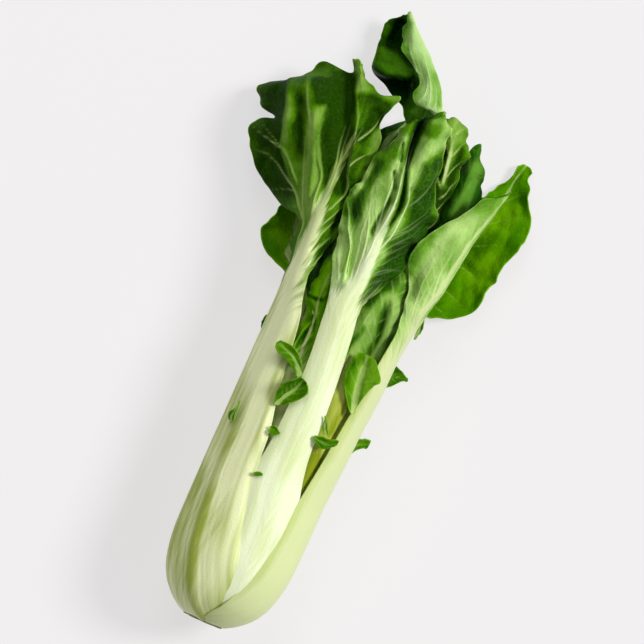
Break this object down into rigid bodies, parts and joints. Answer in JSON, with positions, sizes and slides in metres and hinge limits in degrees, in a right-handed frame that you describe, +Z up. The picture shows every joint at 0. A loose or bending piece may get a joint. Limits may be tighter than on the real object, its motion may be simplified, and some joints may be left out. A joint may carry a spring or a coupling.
{
  "type": "bok choy",
  "caption": "Whole head of bok choy lying on its side: thick pale stalks wrapped into a bulb at the cut root, spreading into ruffled green blades.",
  "frame": {"origin": "middle of the bottom of the whole head's box, on the surface it lies on", "axes": "+Y from the cut root to the leaf tips, +Z up, +X to the right seen from above with the tips away"},
  "size_m": [0.1458, 0.3024, 0.0666],
  "materials": {
    "outer_leaf": "fresh leaf: waxy pale stalk running into a soft green blade",
    "inner_leaf": "fresh inner leaf, darker and smoother",
    "young_leaf": "thin bright young leaf with a slight shine",
    "heart": "pale yellow-green folded bud",
    "cut_stem": "matt cut stem, browned at its rim"
  },
  "bodies": {
    "root": {"leaf_left": "outer_leaf", "leaf_middle": "outer_leaf", "leaf_right": "outer_leaf", "leaf_tall": "outer_leaf", "leaf_under_right": "outer_leaf", "leaf_under_left": "outer_leaf", "leaf_under_middle": "outer_leaf", "leaf_inner_left": "inner_leaf", "leaf_inner_right": "inner_leaf", "leaf_pointed": "inner_leaf", "leaf_gap_left": "inner_leaf", "leaf_gap_right": "inner_leaf", "leaf_small": "young_leaf", "leaflet_long": "young_leaf", "leaflet_cup": "young_leaf", "leaflet_bead_upper": "young_leaf", "leaflet_bead_lower": "young_leaf", "leaflet_flank_left": "young_leaf", "leaflet_sprout": "young_leaf", "leaflet_spike": "young_leaf", "leaflet_right_middle": "young_leaf", "leaflet_right_low": "young_leaf", "leaflet_right_high": "young_leaf", "leaflet_left_side": "young_leaf", "heart": "heart", "root_stub": "cut_stem"}
  },
  "joints": []
}
